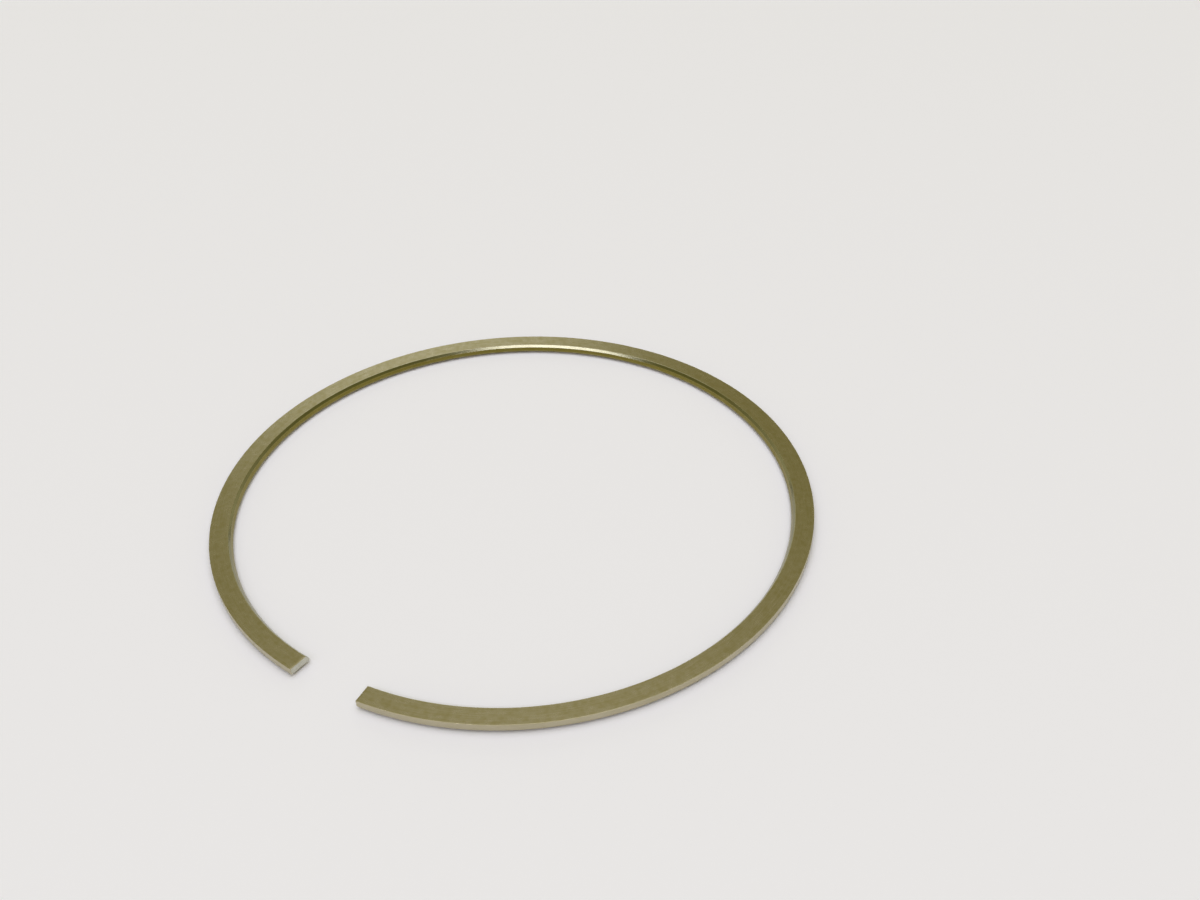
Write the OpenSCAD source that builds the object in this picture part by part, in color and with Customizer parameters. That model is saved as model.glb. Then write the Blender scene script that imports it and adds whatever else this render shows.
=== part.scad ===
// Piston ring, free of its bore: a compression ring with a barrel running face and an inner bevel over a leaning bore
// side.
// It lies flat on its lower side, +Z up, with its gap towards -Y and its origin under the middle.

/* [Ring] */
// Bore that the ring seals once it is closed
bore_d = 96; // [70:0.5:120]
// Radial wall, from the foot of the bore side to the running face
wall = 3.7; // [2.6:0.05:5]
// Width along the bore, which runs in the piston's groove
width = 1.2; // [1:0.05:3]

/* [Gap] */
// Opening between the ends of the free ring at the middle of its wall, to about 0.05
free_gap = 11.7; // [5:0.1:18]
// Opening that is left when the ring is closed in its bore
closed_gap = 0.35; // [0.2:0.05:0.8]
// Broken corner between each end and the running face
end_break = 0.1; // [0.05:0.01:0.3]

/* [Section] */
// Radius of the barrel across the running face
barrel_r = 15; // [10:1:30]
// Lean of the bore side, which stands back from its foot up to the bevel
bore_lean = 0.3; // [0:0.05:0.5]
// Reach of the inner bevel across the wall, from the top of the bore side to the upper side
bevel_run = 0.35; // [0.2:0.05:0.8]
// Depth of the inner bevel below the upper side
bevel_drop = 0.45; // [0.2:0.05:0.6]
// Broken edge along the other three corners of the section
edge_break = 0.08; // [0.04:0.01:0.15]

/* [Hidden] */
$fn = 180;

// The middle of the wall keeps its length when the ring opens, so it is the line that the shape is built on.
neutral_r = bore_d/2 - wall/2;

// Share of its curvature that the ring gives up a quarter of the way round, from the gap that it opens to.
// A ring that presses evenly all round its bore opens by 3 pi r k (1 + 5/6 k).
opened_share = (free_gap - closed_gap)/(3*PI*neutral_r);
ease = 0.6*(sqrt(1 + 10/3*opened_share) - 1);

// Angle turned by the free ring from its back to a point that lies at an angle in the closed ring.
// The curvature is (1 - ease*(1 + cos(angle)))/neutral_r: flattest at the back, full at the ends.
function free_turn(angle) = angle - ease*(angle + sin(angle)*180/PI);

// The closed angle at which the free ring has turned so far, by Newton's steps from a first guess.
function closed_angle(turn, guess, steps = 6) =
    steps == 0 ? guess :
    closed_angle(turn, guess - (free_turn(guess) - turn)/(1 - ease*(1 + cos(guess))), steps - 1);

// Rounding to a step, such as a micron.
function rounded(value, step) = round(value/step)*step;

// The free shape is a chain of arcs that run on smoothly into each other, symmetrical about the back.
// They meet at the angles of the 3-4-5 and 7-24-25 triangles, whose sines and cosines are whole hundredths.
// With radii in whole microns, every centre is then exact and each arc meets the next face to face.
function joint_angles(quarter) = [for (slope = [7/24, 3/4, 4/3, 24/7]) quarter + rounded(atan(slope), 0.0001)];
end_angle = 180 - closed_gap/(2*neutral_r)*180/PI;
end_turn = rounded(free_turn(end_angle), 0.0001);
turns = concat([0], joint_angles(0), [90], joint_angles(90), [end_turn]);
last = len(turns) - 2;
angles = [for (turn = turns) closed_angle(turn, turn)];
radii = [for (i = [0:last]) rounded(neutral_r*(angles[i + 1] - angles[i])/(turns[i + 1] - turns[i]), 0.001)];

// Direction from an arc's centre to a joint, from +Y at the back round to the gap.
function joint_way(turn) = [rounded(sin(turn), 0.01), rounded(cos(turn), 0.01)];

// Centre of each arc, on the line through the joint and the centre before it.
function centre(i) = i == 0 ? [0, 0] : centre(i - 1) + (radii[i - 1] - radii[i])*joint_way(turns[i]);

// The ring reaches from its back to the outer corners of its ends, and the origin is midway.
back_y = radii[0] + wall/2;
tip_y = centre(last)[1] + (radii[last] + wall/2)*cos(end_turn);
middle_y = (back_y + tip_y)/2;

// Section of the wall, with the bore side to the left, on an arc with this radius at the middle of the wall.
module section(radius) {
    inner = radius - wall/2;
    outer = radius + wall/2;
    intersection() {
        polygon([
            [inner, edge_break],
            [inner + edge_break, 0],
            [outer - edge_break, 0],
            [outer - edge_break + width/2, width/2],
            [outer - edge_break, width],
            [inner + bore_lean + bevel_run, width],
            [inner + bore_lean, width - bevel_drop]
        ]);
        translate([outer - barrel_r, width/2])
            circle(r = barrel_r);
    }
}

// One arc of the chain, on the +X side.
module arc(i) {
    translate(centre(i))
        rotate_extrude(start = 90 - turns[i + 1], angle = turns[i + 1] - turns[i])
            section(radii[i]);
}

// Square bar, one flat of which breaks the outer corner of the end on the +X side.
module end_cutter() {
    translate(centre(last))
        rotate(90 - end_turn)
            translate([radii[last] + wall/2 + end_break, -end_break, -width/2])
                cylinder(r = 3*end_break, h = 2*width, $fn = 4);
}

// Half of the ring, from the back to the gap on the +X side.
module half_ring() {
    for (i = [0:last - 1])
        arc(i);
    difference() {
        arc(last);
        end_cutter();
    }
}

module piston_ring() {
    color("#8D8868")
        translate([0, -middle_y, 0]) {
            half_ring();
            mirror([1, 0, 0])
                half_ring();
        }
}

piston_ring();
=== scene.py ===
"""Looks of a piston ring: a free, open compression ring of nitrided steel, flat on a pale floor."""

import math

import bpy
import numpy as np
from mathutils import Matrix, Vector


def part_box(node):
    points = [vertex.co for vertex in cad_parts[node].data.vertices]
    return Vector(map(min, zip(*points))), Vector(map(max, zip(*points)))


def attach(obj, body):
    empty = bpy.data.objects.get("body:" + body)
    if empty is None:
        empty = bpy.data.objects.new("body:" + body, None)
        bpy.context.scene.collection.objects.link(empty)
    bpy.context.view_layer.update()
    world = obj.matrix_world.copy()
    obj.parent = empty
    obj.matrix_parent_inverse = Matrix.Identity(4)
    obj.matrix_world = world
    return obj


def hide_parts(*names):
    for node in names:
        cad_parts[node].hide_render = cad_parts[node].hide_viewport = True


bl_info = {
    "name": "Piston Ring",
    "version": (1, 0, 0),
    "blender": (4, 5, 0),
    "location": "View3D > Sidebar > Piston Ring",
    "description": "Builds a free piston ring with its finishes, and a plain stage to see it on",
    "category": "Add Mesh",
}

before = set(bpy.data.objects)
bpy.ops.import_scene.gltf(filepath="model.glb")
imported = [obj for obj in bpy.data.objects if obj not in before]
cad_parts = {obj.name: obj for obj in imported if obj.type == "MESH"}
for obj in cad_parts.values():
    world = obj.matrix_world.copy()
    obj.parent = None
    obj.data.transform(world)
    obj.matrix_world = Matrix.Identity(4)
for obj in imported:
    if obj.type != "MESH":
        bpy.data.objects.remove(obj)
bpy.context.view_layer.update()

MM = 0.001
NODE = "piston_ring"
BODY = "root"
LOW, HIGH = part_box(NODE)
# Middle of the ring on its lower side
MIDDLE = ((LOW.x + HIGH.x) / 2, (LOW.y + HIGH.y) / 2, LOW.z)

# How finely the ring is drawn: sections along it, steps of its line's sum for each section, and steps
# round each corner and across the running face
STATIONS = 721
SUM_STEPS = 8
ARC_STEPS = 6
BARREL_STEPS = 6
# Distance from a rounded corner to the point beside it, which keeps the shading of the flat flat
GUARD = 0.015 * MM

# Rounds of the section's corners, as shares of the edge round
WIDE_ROUND = 1.5
TIGHT_ROUND = 0.6

# Wear of the section's corners: foot of the bore side, foot and head of the running face, and head and
# foot of the bevel
CORNER_WEAR = (0.5, 1.0, 0.4, 0.5, 0.3)
# Wear that is left beside a corner, as a share of the wear on it
GUARD_WEAR = 0.6

# Share of its round by which an end has shrunk where the finish of the cut begins
CUT_STARTS = 0.6

# Finishes, in the order of the ring's material slots
SIDE, RUNNING, BEVEL, BORE, END = range(5)

# Values of the noise between which the steel turns from its dark tone to its pale one, from dull to
# bright, and from whole to rubbed
TONE_TURN = (0.38, 0.62)
GLOSS_TURN = (0.3, 0.7)
RUB_TURN = (0.38, 0.66)
# Share of the wear that shows where an edge is whole and where it is rubbed
RUB_SHARE = (0.1, 0.75)
RUB_SIZE = 1.6 * MM
RUBBED_ROUGHNESS = 0.28
MARK_STRENGTH = 0.35

# Floor: half its width in metres, and its roughness
FLOOR_HALF = 6
FLOOR_ROUGHNESS = 0.9
# A free ring isn't quite flat; the floor lies this far below the whole ring, with a dark line of air under
# it
AIR_GAP = 0.45 * MM

# Lamps: azimuth from +Y towards +X and elevation in degrees, width and height in metres, and radiance
LAMP_DISTANCE = 2.0
FRONT_LAMP = {"azimuth": 159, "elevation": 44, "size": (3.6, 0.16), "radiance": 6.9}
BACK_LAMP = {"azimuth": -42.5, "elevation": 25.5, "size": (0.84, 0.72), "radiance": 1.1}

# Heights in the room, as sines of the elevation, and the strength of its light
FOOT_HEIGHT = 0.1
WALL_HEIGHTS = (0.43, 0.74)
CEILING_HEIGHT = 0.92
ROOM_STRENGTH = 1.75

# Sensor in the millimetres that a camera takes, and the nearest distance that it sees
SENSOR_WIDTH = 36
CLIP_START = 10 * MM


class RingSizes(bpy.types.PropertyGroup):
    """Sizes of the ring. The main ones are those of the solid that it stands for."""

    bore: bpy.props.FloatProperty(
        name="Bore", description="Bore that the ring seals once it is closed",
        default=96 * MM, unit="LENGTH", precision=5)
    wall: bpy.props.FloatProperty(
        name="Wall", description="Radial wall, from the foot of the bore side to the running face",
        default=3.7 * MM, unit="LENGTH", precision=5)
    width: bpy.props.FloatProperty(
        name="Width", description="Width along the bore",
        default=HIGH.z - LOW.z, unit="LENGTH", precision=5)
    free_gap: bpy.props.FloatProperty(
        name="Free gap", description="Opening between the ends of the free ring",
        default=11.7 * MM, unit="LENGTH", precision=5)
    closed_gap: bpy.props.FloatProperty(
        name="Closed gap", description="Opening that is left when the ring is closed in its bore",
        default=0.35 * MM, unit="LENGTH", precision=5)
    barrel: bpy.props.FloatProperty(
        name="Barrel radius", description="Radius of the barrel across the running face",
        default=15 * MM, unit="LENGTH", precision=5)
    bore_lean: bpy.props.FloatProperty(
        name="Bore lean", description="How far the bore side stands back from its foot up to the bevel",
        default=0.3 * MM, unit="LENGTH", precision=5)
    bevel_run: bpy.props.FloatProperty(
        name="Bevel run", description="Reach of the inner bevel across the wall",
        default=0.35 * MM, unit="LENGTH", precision=5)
    bevel_drop: bpy.props.FloatProperty(
        name="Bevel drop", description="Depth of the inner bevel below the upper side",
        default=0.45 * MM, unit="LENGTH", precision=5)
    edge_round: bpy.props.FloatProperty(
        name="Edge round", description="Radius along the broken edges of the section",
        default=0.08 * MM, unit="LENGTH", precision=5)
    end_round: bpy.props.FloatProperty(
        name="End round", description="Radius round the two cut ends",
        default=0.08 * MM, unit="LENGTH", precision=5)
    wear_reach: bpy.props.FloatProperty(
        name="Wear reach", description="How far the wear along an edge reaches over the flats beside it",
        default=0.2 * MM, unit="LENGTH", precision=5)


class RingColours(bpy.types.PropertyGroup):
    """Colours of the ring's finishes, as sRGB hex values."""

    side: bpy.props.StringProperty(
        name="Side faces", description="Colour of the lapped side faces", default="#9E936A")
    side_pale: bpy.props.StringProperty(
        name="Side faces, pale", description="Paler tone in the lapped side faces", default="#B1A78A")
    running: bpy.props.StringProperty(
        name="Running face", description="Colour of the running face", default="#B6AE8F")
    running_pale: bpy.props.StringProperty(
        name="Running face, pale", description="Paler lines in the running face", default="#C0B89F")
    # Bore side: darker partly from its nitrided skin and partly from painted shade, for the shadowed floor
    # that it mirrors
    bore: bpy.props.StringProperty(
        name="Bore side", description="Colour of the bore side", default="#827840")
    bore_pale: bpy.props.StringProperty(
        name="Bore side, pale", description="Paler lines in the bore side", default="#8E844F")
    bevel: bpy.props.StringProperty(
        name="Bevel", description="Colour of the turned bevel", default="#817D5E")
    bevel_pale: bpy.props.StringProperty(
        name="Bevel, pale", description="Paler lines in the turned bevel", default="#908D6E")
    end: bpy.props.StringProperty(
        name="Ends", description="Colour of the cut ends", default="#B9B8A6")
    end_pale: bpy.props.StringProperty(
        name="Ends, pale", description="Paler marks in the cut ends", default="#D0CFC2")
    worn: bpy.props.StringProperty(
        name="Worn edges", description="Colour of the steel where the edges are rubbed", default="#B9B397")


class StageSettings(bpy.types.PropertyGroup):
    """The floor, the light and the camera."""

    floor: bpy.props.StringProperty(
        name="Floor", description="Colour of the floor", default="#F7F5FC")
    backdrop: bpy.props.StringProperty(
        name="Backdrop", description="Colour that the camera sees beyond the floor", default="#E2E1DD")
    lamp: bpy.props.StringProperty(
        name="Lamp", description="Colour of the wide lamp at the front", default="#E0E0FF")
    daylight: bpy.props.StringProperty(
        name="Daylight", description="Colour of the cool light from the back", default="#EAF2FF")
    room_low: bpy.props.StringProperty(
        name="Room, low", description="Colour of the room's pale foot", default="#AAA78E")
    room_middle: bpy.props.StringProperty(
        name="Room, middle", description="Colour of the room's warm walls", default="#76734A")
    room_high: bpy.props.StringProperty(
        name="Room, high", description="Colour of the room's ceiling", default="#F8FAFF")
    azimuth: bpy.props.FloatProperty(
        name="Azimuth", description="Camera's place round the ring, from -Y towards +X",
        default=math.radians(36.97), subtype="ANGLE")
    elevation: bpy.props.FloatProperty(
        name="Elevation", description="Camera's height above the ring's plane",
        default=math.radians(39.28), subtype="ANGLE")
    distance: bpy.props.FloatProperty(
        name="Distance", description="Camera's distance from the middle of the ring",
        default=208.3 * MM, unit="LENGTH", precision=4)
    aim: bpy.props.FloatVectorProperty(
        name="Aim", description="Point on the ring's plane at the middle of the picture",
        default=(6.2 * MM, 17.6 * MM, 0.6 * MM), size=3, subtype="XYZ_LENGTH", precision=4)
    roll: bpy.props.FloatProperty(
        name="Roll", description="Turn of the camera about its line of sight",
        default=math.radians(-1.94), subtype="ANGLE")
    lens: bpy.props.FloatProperty(
        name="Lens", description="Focal length in millimetres on a 36 mm sensor",
        default=36.85, unit="CAMERA")


def linear(hex_colour):
    """Linear red, green, blue and alpha of an sRGB hex value."""
    value = np.array([int(hex_colour[i:i + 2], 16) for i in (1, 3, 5)]) / 255
    low = value / 12.92
    high = ((value + 0.055) / 1.055) ** 2.4
    return (*np.where(value <= 0.04045, low, high).tolist(), 1.0)


def add_node(tree, kind, inputs=None, **settings):
    """Adds a node, makes its settings, and fills its inputs with values or with links from sockets."""
    node = tree.nodes.new(kind)
    for name, value in settings.items():
        setattr(node, name, value)
    for name, value in (inputs or {}).items():
        if isinstance(value, bpy.types.NodeSocket):
            tree.links.new(value, node.inputs[name])
        else:
            node.inputs[name].default_value = value
    return node


def free_line(sizes):
    """Middle line of the free ring's wall, from one end round the back to the other.

    A ring that presses evenly on its bore has, when free, the curvature (1 - k (1 + cos a)) / r at the
    closed angle a from its back, so it has turned by a - k (a + sin a) there. The line is the running sum
    of its heading. The gap opens by 3 pi r k (1 + 5/6 k), which is solved for k, the ease. Returns the
    distance along the line, its points and its turns.
    """
    radius = (sizes.bore - sizes.wall) / 2
    share = (sizes.free_gap - sizes.closed_gap) / (3 * math.pi * radius)
    ease = 0.6 * (math.sqrt(1 + share * 10 / 3) - 1)
    half = math.pi - sizes.closed_gap / (2 * radius)
    angle = np.linspace(-half, half, SUM_STEPS * STATIONS + 1)
    turn = angle - ease * (angle + np.sin(angle))
    heading = np.stack([np.cos(turn), -np.sin(turn)], 1)
    along = radius * (angle + half)
    steps = (heading[1:] + heading[:-1]) / 2 * np.diff(along)[:, None]
    points = np.concatenate([np.zeros((1, 2)), np.cumsum(steps, 0)])
    points -= (points[0] + points[-1]) / 2
    return along, points, turn


def rounded_corner(before, corner, after, radius, fade):
    """Points of an arc that rounds a corner, with a fade point and a guard point on the flat at each side.

    The arc touches both flats at radius times the tangent of half the turn from the corner.
    """
    before, corner, after = (np.array(p, float) for p in (before, corner, after))
    way_in = (corner - before) / np.linalg.norm(corner - before)
    way_out = (after - corner) / np.linalg.norm(after - corner)
    turn = math.atan2(way_in[0] * way_out[1] - way_in[1] * way_out[0], way_in @ way_out)
    reach = radius * math.tan(turn / 2)
    left = np.array([-way_in[1], way_in[0]])
    swing = np.linspace(0, turn, ARC_STEPS + 1)[:, None]
    centre = corner - reach * way_in + radius * left
    arc = centre + radius * (np.sin(swing) * way_in - np.cos(swing) * left)
    flat = np.array([[reach + fade], [reach + GUARD]])
    return np.concatenate([corner - flat * way_in, arc, corner + flat[::-1] * way_out])


def wall_outline(sizes):
    """Closed outline of the wall's section, outward and up from the middle of its lower side.

    It runs counter-clockwise round a rectangle whose bore side leans back to a bevel, with its corners
    rounded and its running face bowed to an arc. Returns the points, the finish of the strip that starts
    at each point, and the wear at each point.
    """
    inner, outer, top = -sizes.wall / 2, sizes.wall / 2, sizes.width
    lower_in, lower_out, upper_out = (inner, 0), (outer, 0), (outer, top)
    bore_top = (inner + sizes.bore_lean, top - sizes.bevel_drop)
    bevel_top = (inner + sizes.bore_lean + sizes.bevel_run, top)
    wide, tight = WIDE_ROUND * sizes.edge_round, TIGHT_ROUND * sizes.edge_round
    fade = sizes.wear_reach
    bore_foot = rounded_corner(bore_top, lower_in, lower_out, wide, fade)
    running_foot = rounded_corner(lower_in, lower_out, upper_out, wide, fade)
    running_head = rounded_corner(lower_out, upper_out, bevel_top, tight, fade)
    bevel_head = rounded_corner(upper_out, bevel_top, bore_top, wide, fade)
    bevel_foot = rounded_corner(bevel_top, bore_top, lower_in, wide, fade)
    barrel = np.linspace(running_foot[-1], running_head[0], BARREL_STEPS + 1)[1:-1]

    rubbed = np.concatenate([[0, GUARD_WEAR], np.ones(ARC_STEPS + 1), [GUARD_WEAR, 0]])
    worn = [share * rubbed for share in CORNER_WEAR]
    # Each stretch of the outline, the finishes before and after its middle, and its wear
    stretches = [
        (bore_foot, BORE, SIDE, worn[0]),
        (running_foot, SIDE, RUNNING, worn[1]),
        (barrel, RUNNING, RUNNING, np.zeros(len(barrel))),
        (running_head, RUNNING, SIDE, worn[2]),
        (bevel_head, SIDE, BEVEL, worn[3]),
        (bevel_foot, BEVEL, BORE, worn[4]),
    ]
    outline = np.concatenate([points for points, *_ in stretches])
    finish = np.concatenate([
        np.where(np.arange(len(points)) < len(points) // 2, before, after)
        for points, before, after, _ in stretches])
    wear = np.concatenate([amount for *_, amount in stretches])
    bow = (outline[:, 1] - top / 2) ** 2 / (2 * sizes.barrel)
    outline[:, 0] -= np.where(outline[:, 0] > outer / 2, bow, 0)
    return outline, finish, wear


def ring_surface(sizes):
    """Vertices, wear, quads, end faces, finishes and lay of the ring's surface.

    The surface is the wall's outline carried along the free line:
    point(s, t) = line(s) + outward(s) * x(t) + up * z(t).
    Over the last stretch at each end the outline shrinks by a quarter circle, r (1 - cos p) at
    r (1 - sin p) from the end, which rounds the cut edge, and a flat face closes it. The lay is the
    distance along the ring and round its outline in millimetres, and on the end faces the place in the
    section.
    """
    outline, finish, wear = wall_outline(sizes)
    count = len(outline)
    edge_way = np.roll(outline, -1, 0) - np.roll(outline, 1, 0)
    edge_way /= np.linalg.norm(edge_way, axis=1)[:, None]
    inward = np.stack([-edge_way[:, 1], edge_way[:, 0]], 1)

    along, points, turn = free_line(sizes)
    length = along[-1]
    swing = np.linspace(0, math.pi / 2, ARC_STEPS + 1)
    rounding = sizes.end_round * (1 - np.sin(swing))
    shrink = sizes.end_round * (1 - np.cos(swing))
    closing = [shrink[-1] + GUARD]
    middle = np.linspace(sizes.end_round, length - sizes.end_round, STATIONS)[1:-1]
    place = np.concatenate([[0], rounding[::-1], middle, length - rounding, [length]])
    inset = np.concatenate([closing, shrink[::-1], np.zeros(len(middle)), shrink, closing])
    line = np.stack([np.interp(place, along, points[:, k]) for k in range(2)], 1)
    facing = np.interp(place, along, turn)
    outward = np.stack([np.sin(facing), np.cos(facing)], 1)

    section = outline[None] + inset[:, None, None] * inward[None]
    flat = line[:, None] + outward[:, None] * section[..., :1]
    vertices = np.concatenate([flat, section[..., 1:]], 2)
    own_low, own_high = flat.min((0, 1)), flat.max((0, 1))
    fit = (HIGH.x - LOW.x) / (own_high[0] - own_low[0])
    vertices[..., :2] = (vertices[..., :2] - (own_low + own_high) / 2) * fit
    vertices += MIDDLE

    row, col = np.meshgrid(np.arange(len(place) - 1), np.arange(count), indexing="ij")
    here, there = row * count, (row + 1) * count
    following = (col + 1) % count
    quads = np.stack([here + col, here + following, there + following, there + col], -1)
    last = (len(place) - 1) * count
    ends = [np.arange(count)[::-1], last + np.arange(count)]

    step = np.linalg.norm(np.roll(outline, -1, 0) - outline, axis=1)
    across = np.concatenate([[0], np.cumsum(step)]) / MM
    run = place / MM
    lay = np.stack([
        np.stack([run[row], across[col]], -1),
        np.stack([run[row], across[col + 1]], -1),
        np.stack([run[row + 1], across[col + 1]], -1),
        np.stack([run[row + 1], across[col]], -1)], 2)
    end_lay = outline / MM
    lay = np.concatenate([lay.reshape(-1, 2), end_lay[::-1], end_lay])
    cut = (inset[:-1] + inset[1:]) / 2 > CUT_STARTS * sizes.end_round
    zone = np.where(cut[:, None], END, finish[None])
    zone = np.concatenate([zone.ravel(), [END, END]])
    return vertices.reshape(-1, 3), np.tile(wear, len(place)), quads.reshape(-1, 4), ends, zone, lay


def steel(name, dark, pale, worn, cloud, marks, rough, relief):
    """Steel whose tone, gloss and relief follow clouds in it and the marks of its making along its UV map.

    cloud is the size of the clouds and their share in the tone, marks the length and width of the marks in
    millimetres, rough the roughness from dark to pale, and relief the depth of the marks. Wear rubs the
    edges to another tone and gloss, in patches.
    """
    material = bpy.data.materials.new(name)
    material.use_nodes = True
    tree = material.node_tree
    shader = tree.nodes["Principled BSDF"]
    shader.inputs["Metallic"].default_value = 1.0
    place = add_node(tree, "ShaderNodeTexCoord")
    cloud_size, cloud_share = cloud
    clouds = add_node(tree, "ShaderNodeTexNoise", {
        "Vector": place.outputs["Object"], "Scale": 1 / cloud_size, "Detail": 3.0, "Roughness": 0.5})
    mark_long, mark_wide = marks
    lay = add_node(tree, "ShaderNodeMapping", {
        "Vector": place.outputs["UV"], "Scale": (1 / mark_long, 1 / mark_wide, 1)})
    lines = add_node(tree, "ShaderNodeTexNoise", {
        "Vector": lay.outputs["Vector"], "Scale": 1.0, "Detail": 3.0, "Roughness": 0.6})
    mixed = add_node(tree, "ShaderNodeMix", {
        "Factor": cloud_share, "A": lines.outputs["Fac"], "B": clouds.outputs["Fac"]}, data_type="FLOAT")
    tone = mixed.outputs["Result"]
    ramp = add_node(tree, "ShaderNodeValToRGB", {"Fac": tone})
    for stop, position, hue in zip(ramp.color_ramp.elements, TONE_TURN, (dark, pale)):
        stop.position = position
        stop.color = linear(hue)
    gloss = add_node(tree, "ShaderNodeMapRange", {
        "Value": tone, "From Min": GLOSS_TURN[0], "From Max": GLOSS_TURN[1],
        "To Min": rough[0], "To Max": rough[1]})

    edges = add_node(tree, "ShaderNodeAttribute", attribute_name="Wear")
    rubs = add_node(tree, "ShaderNodeTexNoise", {
        "Vector": place.outputs["Object"], "Scale": 1 / RUB_SIZE, "Detail": 4.0, "Roughness": 0.7})
    patches = add_node(tree, "ShaderNodeMapRange", {
        "Value": rubs.outputs["Fac"], "From Min": RUB_TURN[0], "From Max": RUB_TURN[1],
        "To Min": RUB_SHARE[0], "To Max": RUB_SHARE[1]})
    rubbed = add_node(tree, "ShaderNodeMath", {
        0: edges.outputs["Fac"], 1: patches.outputs["Result"]}, operation="MULTIPLY")
    colour = add_node(tree, "ShaderNodeMixRGB", {
        "Fac": rubbed.outputs["Value"], "Color1": ramp.outputs["Color"], "Color2": linear(worn)})
    smooth = add_node(tree, "ShaderNodeMix", {
        "Factor": rubbed.outputs["Value"], "A": gloss.outputs["Result"], "B": RUBBED_ROUGHNESS},
        data_type="FLOAT")
    bump = add_node(tree, "ShaderNodeBump", {
        "Height": lines.outputs["Fac"], "Strength": MARK_STRENGTH, "Distance": relief})
    tree.links.new(colour.outputs["Color"], shader.inputs["Base Color"])
    tree.links.new(smooth.outputs["Result"], shader.inputs["Roughness"])
    tree.links.new(bump.outputs["Normal"], shader.inputs["Normal"])
    return material


def ring_finishes(colours):
    """The ring's five finishes, in the order of its material slots.

    Their marks are microns wide in life, and are drawn as coarse as they need to be to show.
    """
    return [
        # Nitrided steel, lapped flat: a satin olive grey, clouded where the lap cut more
        steel("LappedNitridedSteel", colours.side, colours.side_pale, colours.worn,
              cloud=(0.9 * MM, 0.5), marks=(7.0, 0.2), rough=(0.31, 0.26), relief=0.008 * MM),
        # Nitrided steel, lapped in a cylinder: paler than the sides, with hair lines round the ring
        steel("LappedRunningFace", colours.running, colours.running_pale, colours.worn,
              cloud=(3 * MM, 0.3), marks=(16.0, 0.15), rough=(0.36, 0.28), relief=0.006 * MM),
        # Steel turned to a bevel: a smooth cut that mirrors the light, with fine turning lines along it
        steel("TurnedBevel", colours.bevel, colours.bevel_pale, colours.worn,
              cloud=(2.5 * MM, 0.3), marks=(30.0, 0.1), rough=(0.15, 0.11), relief=0.004 * MM),
        # Rolled wire, nitrided and left so: smoother than what was lapped, with lines along it
        # Its darkness is partly its nitrided skin and partly painted shade, for the shadowed floor that it
        # mirrors
        steel("RolledNitridedSteelPaintedShade", colours.bore, colours.bore_pale, colours.worn,
              cloud=(2.5 * MM, 0.4), marks=(25.0, 0.12), rough=(0.3, 0.22), relief=0.005 * MM),
        # Steel cut through and ground: the pale, duller metal under the skin, with marks across the wall
        steel("GroundSteelEnds", colours.end, colours.end_pale, colours.end_pale,
              cloud=(0.8 * MM, 0.3), marks=(2.0, 0.1), rough=(0.45, 0.35), relief=0.006 * MM),
    ]


class PISTONRING_OT_ring(bpy.types.Operator):
    """Build the ring and its finishes"""

    bl_idname = "piston_ring.build_ring"
    bl_label = "Build Ring"

    def execute(self, context):
        vertices, wear, quads, ends, zone, lay = ring_surface(context.scene.ring_sizes)
        mesh = bpy.data.meshes.new("ring_body")
        mesh.from_pydata(vertices.tolist(), [], quads.tolist() + [face.tolist() for face in ends])
        mesh.polygons.foreach_set("material_index", zone.astype(np.int32))
        mesh.polygons.foreach_set("use_smooth", np.ones(len(mesh.polygons), bool))
        mesh.uv_layers.new(name="Lay").data.foreach_set("uv", lay.ravel())
        mesh.attributes.new("Wear", "FLOAT", "POINT").data.foreach_set("value", wear)
        for material in ring_finishes(context.scene.ring_colours):
            mesh.materials.append(material)
        mesh.update()
        if mesh.validate():
            raise RuntimeError("the ring's mesh has faulty faces")
        ring = bpy.data.objects.new("ring_body", mesh)
        context.scene.collection.objects.link(ring)
        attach(ring, BODY)
        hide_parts(NODE)
        return {"FINISHED"}


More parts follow.
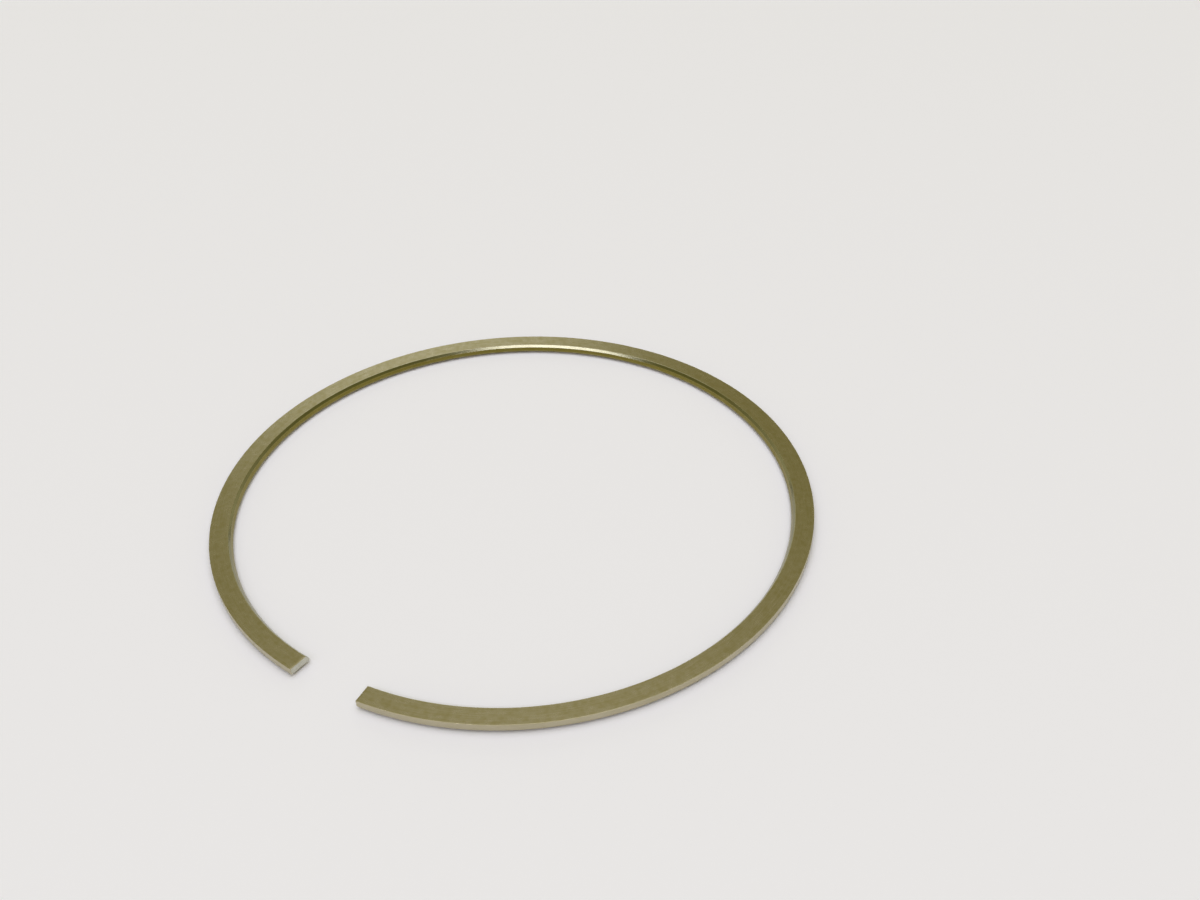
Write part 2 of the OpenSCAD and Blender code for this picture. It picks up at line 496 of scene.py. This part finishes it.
class PISTONRING_OT_stage(bpy.types.Operator):
    """Set the floor, the light and the camera"""

    bl_idname = "piston_ring.set_stage"
    bl_label = "Set Stage"

    def execute(self, context):
        settings = context.scene.ring_stage
        self.floor(context, settings)
        self.lamp(context, "front", settings.lamp, **FRONT_LAMP)
        self.lamp(context, "back", settings.daylight, **BACK_LAMP)
        self.room(context, settings)
        self.camera(context, settings)
        context.scene.view_settings.view_transform = "Standard"
        return {"FINISHED"}

    def floor(self, context, settings):
        """A wide, plain, matt floor under the ring."""
        level = LOW.z - AIR_GAP
        signs = ((-1, -1), (1, -1), (1, 1), (-1, 1))
        corners = [(x * FLOOR_HALF, y * FLOOR_HALF, level) for x, y in signs]
        mesh = bpy.data.meshes.new("floor")
        mesh.from_pydata(corners, [], [(0, 1, 2, 3)])
        # Matt card: a plain, nearly white ground that takes the ring's soft shadow
        material = bpy.data.materials.new("PaleCard")
        material.use_nodes = True
        shader = material.node_tree.nodes["Principled BSDF"]
        shader.inputs["Base Color"].default_value = linear(settings.floor)
        shader.inputs["Roughness"].default_value = FLOOR_ROUGHNESS
        mesh.materials.append(material)
        floor = bpy.data.objects.new("floor", mesh)
        context.scene.collection.objects.link(floor)

    def lamp(self, context, name, colour, azimuth, elevation, size, radiance):
        """An elliptical area lamp that faces the ring from an azimuth and an elevation.

        Its power is pi times its area times its radiance.
        """
        around, up = math.radians(azimuth), math.radians(elevation)
        way = Vector((math.cos(up) * math.sin(around), math.cos(up) * math.cos(around), math.sin(up)))
        light = bpy.data.lights.new(name, "AREA")
        light.shape = "ELLIPSE"
        light.size, light.size_y = size
        light.color = linear(colour)[:3]
        light.energy = math.pi * (math.pi / 4 * size[0] * size[1]) * radiance
        lamp = bpy.data.objects.new(name, light)
        lamp.location = way * LAMP_DISTANCE
        lamp.rotation_euler = way.to_track_quat("Z", "Y").to_euler()
        lamp.visible_camera = False
        context.scene.collection.objects.link(lamp)

    def room(self, context, settings):
        """A room with a pale foot, warm walls and a bright ceiling, which lights the ring and shows in it.

        The camera sees a plain backdrop in its place.
        """
        world = bpy.data.worlds.new("room")
        world.use_nodes = True
        tree = world.node_tree
        place = add_node(tree, "ShaderNodeTexCoord")
        height = add_node(tree, "ShaderNodeSeparateXYZ", {"Vector": place.outputs["Generated"]})
        ramp = add_node(tree, "ShaderNodeValToRGB", {"Fac": height.outputs["Z"]})
        foot, ceiling = ramp.color_ramp.elements
        foot.position = FOOT_HEIGHT
        foot.color = linear(settings.room_low)
        ceiling.position = CEILING_HEIGHT
        ceiling.color = linear(settings.room_high)
        for wall in WALL_HEIGHTS:
            ramp.color_ramp.elements.new(wall).color = linear(settings.room_middle)
        light = tree.nodes["Background"]
        light.inputs["Strength"].default_value = ROOM_STRENGTH
        tree.links.new(ramp.outputs["Color"], light.inputs["Color"])
        rays = add_node(tree, "ShaderNodeLightPath")
        backdrop = add_node(tree, "ShaderNodeBackground", {"Color": linear(settings.backdrop)})
        seen = add_node(tree, "ShaderNodeMixShader", {
            0: rays.outputs["Is Camera Ray"],
            1: light.outputs["Background"],
            2: backdrop.outputs["Background"]})
        tree.links.new(seen.outputs["Shader"], tree.nodes["World Output"].inputs["Surface"])
        context.scene.world = world

    def camera(self, context, settings):
        """The camera looks from its azimuth and elevation at the aim point, turned by the roll."""
        level = math.cos(settings.elevation)
        way = Vector((
            level * math.sin(settings.azimuth),
            -level * math.cos(settings.azimuth),
            math.sin(settings.elevation)))
        place = Vector(MIDDLE) + way * settings.distance
        back = place - Vector(settings.aim)
        turned = back.to_track_quat("Z", "Y").to_matrix() @ Matrix.Rotation(settings.roll, 3, "Z")
        camera = bpy.data.cameras.new("camera")
        camera.sensor_fit = "HORIZONTAL"
        camera.sensor_width = SENSOR_WIDTH
        camera.lens = settings.lens
        camera.clip_start = CLIP_START
        camera_object = bpy.data.objects.new("camera", camera)
        camera_object.matrix_world = Matrix.Translation(place) @ turned.to_4x4()
        context.scene.collection.objects.link(camera_object)
        context.scene.camera = camera_object


class PISTONRING_PT_panel(bpy.types.Panel):
    """Lists the ring's sizes and colours, the stage, and the buttons that build them"""

    bl_idname = "PISTONRING_PT_panel"
    bl_label = "Piston Ring"
    bl_space_type = "VIEW_3D"
    bl_region_type = "UI"
    bl_category = "Piston Ring"

    def draw(self, context):
        scene = context.scene
        for settings in (scene.ring_sizes, scene.ring_colours, scene.ring_stage):
            box = self.layout.box()
            for name in settings.__annotations__:
                box.prop(settings, name)
        self.layout.operator(PISTONRING_OT_ring.bl_idname)
        self.layout.operator(PISTONRING_OT_stage.bl_idname)


CLASSES = (
    RingSizes, RingColours, StageSettings, PISTONRING_OT_ring, PISTONRING_OT_stage, PISTONRING_PT_panel)


def register():
    """Registers the classes and gives each scene its settings."""
    for item in CLASSES:
        bpy.utils.register_class(item)
    bpy.types.Scene.ring_sizes = bpy.props.PointerProperty(type=RingSizes)
    bpy.types.Scene.ring_colours = bpy.props.PointerProperty(type=RingColours)
    bpy.types.Scene.ring_stage = bpy.props.PointerProperty(type=StageSettings)


def unregister():
    """Takes the settings and the classes away again."""
    del bpy.types.Scene.ring_stage
    del bpy.types.Scene.ring_colours
    del bpy.types.Scene.ring_sizes
    for item in reversed(CLASSES):
        bpy.utils.unregister_class(item)


def main():
    """Builds the ring and its stage."""
    register()
    bpy.ops.piston_ring.build_ring()
    bpy.ops.piston_ring.set_stage()


if __name__ == "__main__":
    main()
